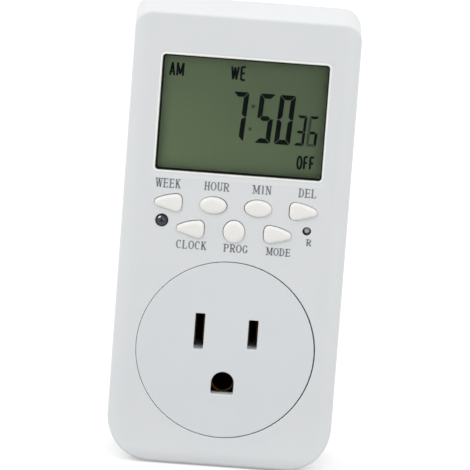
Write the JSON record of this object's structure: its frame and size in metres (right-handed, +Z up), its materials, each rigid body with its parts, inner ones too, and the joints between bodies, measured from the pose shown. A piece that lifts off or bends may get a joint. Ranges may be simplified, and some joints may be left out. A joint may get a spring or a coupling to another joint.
{
  "type": "plug-in timer",
  "caption": "Flat white plug-in timer: display window and keys over a pass-through grounded socket, with a polarised plug behind.",
  "frame": {"origin": "on the rear face that meets the wall, midway between the two flat blades and on their centre line", "axes": "+Z up along the case's height, +Y out of the rear face along the plug, into the wall, +X to the right seen from the front; the display and keys face -Y"},
  "size_m": [0.054, 0.0563, 0.1084],
  "materials": {
    "case_white": "fine satin, cool white",
    "socket_white": "fine satin, cool white",
    "key_white": "satin, warmer white",
    "reset_grey": "satin grey",
    "clear_window": "clear acrylic",
    "display_green": "olive green reflective display",
    "black_plastic": "matt black",
    "carrier_plastic": "dark heat-proof plastic",
    "silicone": "layered silicone rubber",
    "board_green": "lacquered board",
    "steel": "zinc plated",
    "brass": "stamped, bright",
    "led_dark": "dark tinted resin, clear coat",
    "relay_blue": "satin",
    "coil_red": "enamelled wire",
    "film_yellow": "moulded box",
    "sleeve_black": "shrunk sleeve",
    "resistor_tan": "lacquered",
    "varistor_blue": "dipped resin",
    "cell_green": "shrunk sleeve",
    "nickel": "nickel plated"
  },
  "bodies": {
    "case": {"front_cover": "case_white", "rear_cover": "case_white", "socket_face": "socket_white", "display_window": "clear_window", "lcd_panel": "display_green", "lcd_holder": "black_plastic", "board_header": "black_plastic", "key_switches": "black_plastic", "controller_chip": "black_plastic", "relay_transistor": "black_plastic", "relay_base": "black_plastic", "contact_carrier": "carrier_plastic", "zebra_strips": "silicone", "control_board": "board_green", "power_board": "board_green", "case_screws": "steel", "carrier_screws": "steel", "board_screws": "steel", "power_screws": "steel", "clock_crystal": "steel", "switch_domes": "steel", "relay_core": "steel", "relay_yoke": "steel", "line_contact": "brass", "neutral_contact": "brass", "ground_contact": "brass", "line_blade": "brass", "neutral_blade": "brass", "ground_pin": "brass", "line_strap": "brass", "neutral_strap": "brass", "blade_rivets": "brass", "header_pins": "brass", "relay_fixed_contact": "brass", "indicator_led": "led_dark", "relay_case": "relay_blue", "relay_coil": "coil_red", "dropper_capacitor": "film_yellow", "smoothing_capacitor": "sleeve_black", "rectifier_diodes": "sleeve_black", "resistors": "resistor_tan", "varistor": "varistor_blue", "backup_battery": "cell_green", "battery_tabs": "nickel"},
    "week_key": {"button_week": "key_white"},
    "hour_key": {"button_hour": "key_white"},
    "minute_key": {"button_minute": "key_white"},
    "delete_key": {"button_delete": "key_white"},
    "clock_key": {"button_clock": "key_white"},
    "program_key": {"button_program": "key_white"},
    "mode_key": {"button_mode": "key_white"},
    "reset_key": {"reset_plunger": "reset_grey"},
    "armature": {"relay_armature": "steel", "relay_moving_contact": "brass"}
  },
  "joints": [
    {"name": "week_press", "type": "slide", "parent": "case", "child": "week_key", "axis": [0, 1, 0], "range_m": [0, 0.0008], "stiffness_N_per_m": 1000},
    {"name": "hour_press", "type": "slide", "parent": "case", "child": "hour_key", "axis": [0, 1, 0], "range_m": [0, 0.0008], "stiffness_N_per_m": 1000},
    {"name": "minute_press", "type": "slide", "parent": "case", "child": "minute_key", "axis": [0, 1, 0], "range_m": [0, 0.0008], "stiffness_N_per_m": 1000},
    {"name": "delete_press", "type": "slide", "parent": "case", "child": "delete_key", "axis": [0, 1, 0], "range_m": [0, 0.0008], "stiffness_N_per_m": 1000},
    {"name": "clock_press", "type": "slide", "parent": "case", "child": "clock_key", "axis": [0, 1, 0], "range_m": [0, 0.0008], "stiffness_N_per_m": 1000},
    {"name": "program_press", "type": "slide", "parent": "case", "child": "program_key", "axis": [0, 1, 0], "range_m": [0, 0.0008], "stiffness_N_per_m": 1000},
    {"name": "mode_press", "type": "slide", "parent": "case", "child": "mode_key", "axis": [0, 1, 0], "range_m": [0, 0.0008], "stiffness_N_per_m": 1000},
    {"name": "reset_press", "type": "slide", "parent": "case", "child": "reset_key", "axis": [0, 1, 0], "range_m": [0, 0.0008], "stiffness_N_per_m": 1000},
    {"name": "relay_pull", "type": "hinge", "parent": "case", "child": "armature", "pos_m": [0.0068, -0.0097, 0.0346], "axis": [1, 0, 0], "range_deg": [0, 2.5], "stiffness_Nm_per_rad": 0.05}
  ]
}
